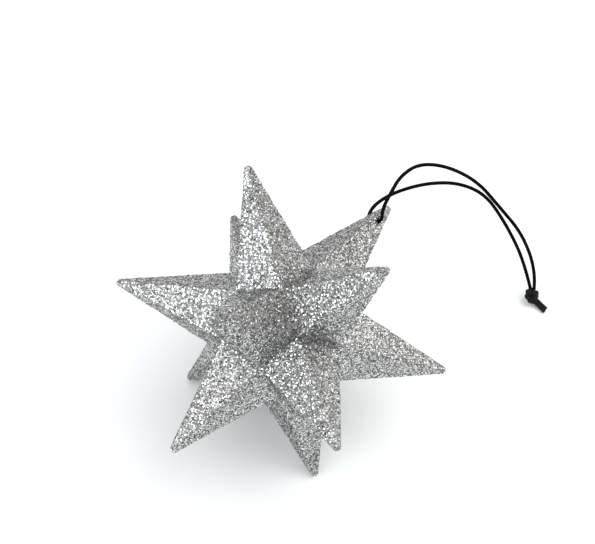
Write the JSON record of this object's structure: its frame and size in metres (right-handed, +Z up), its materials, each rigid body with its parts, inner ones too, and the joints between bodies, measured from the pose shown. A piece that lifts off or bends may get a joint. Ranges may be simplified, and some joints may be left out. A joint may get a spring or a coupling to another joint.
{
  "type": "hanging star ornament",
  "caption": "Hollow pointed star ornament with pyramid spikes of folded card, coated in silver glitter, on a knotted black cord loop.",
  "frame": {"origin": "on the table, straight below the centre of the star, which rests on three foot tips", "axes": "+Z up from the table, +X towards the right-hand spikes and the knot, +Y towards the back, where the cord leaves the star"},
  "size_m": [0.1337, 0.1002, 0.0807],
  "materials": {
    "glitter": "silver glitter flakes in clear lacquer",
    "card": "uncoated card",
    "waxed_cord": "waxed cotton, satin"
  },
  "bodies": {
    "star": {"card_spike_foot_1": "card", "card_spike_foot_2": "card", "card_spike_foot_3": "card", "card_spike_lower_1": "card", "card_spike_lower_2": "card", "card_spike_lower_3": "card", "card_spike_top_1": "card", "card_spike_top_2": "card", "card_spike_top_3": "card", "card_spike_upper_1": "card", "card_spike_upper_2": "card", "card_spike_upper_3": "card", "glitter_coat_foot_1": "glitter", "glitter_coat_foot_2": "glitter", "glitter_coat_foot_3": "glitter", "glitter_coat_lower_1": "glitter", "glitter_coat_lower_2": "glitter", "glitter_coat_lower_3": "glitter", "glitter_coat_top_1": "glitter", "glitter_coat_top_2": "glitter", "glitter_coat_top_3": "glitter", "glitter_coat_upper_1": "glitter", "glitter_coat_upper_2": "glitter", "glitter_coat_upper_3": "glitter"},
    "hanger": {"cord_back_strand": "waxed_cord", "cord_front_strand": "waxed_cord", "cord_tail_1": "waxed_cord", "cord_tail_2": "waxed_cord", "loop_knot": "waxed_cord"}
  },
  "joints": [
    {"name": "hanger_swing", "type": "hinge", "parent": "star", "child": "hanger", "pos_m": [0.02768, 0.03239, 0.0492], "axis": [0.5364, -0.6156, 0.5773], "range_deg": [0, 95]}
  ]
}
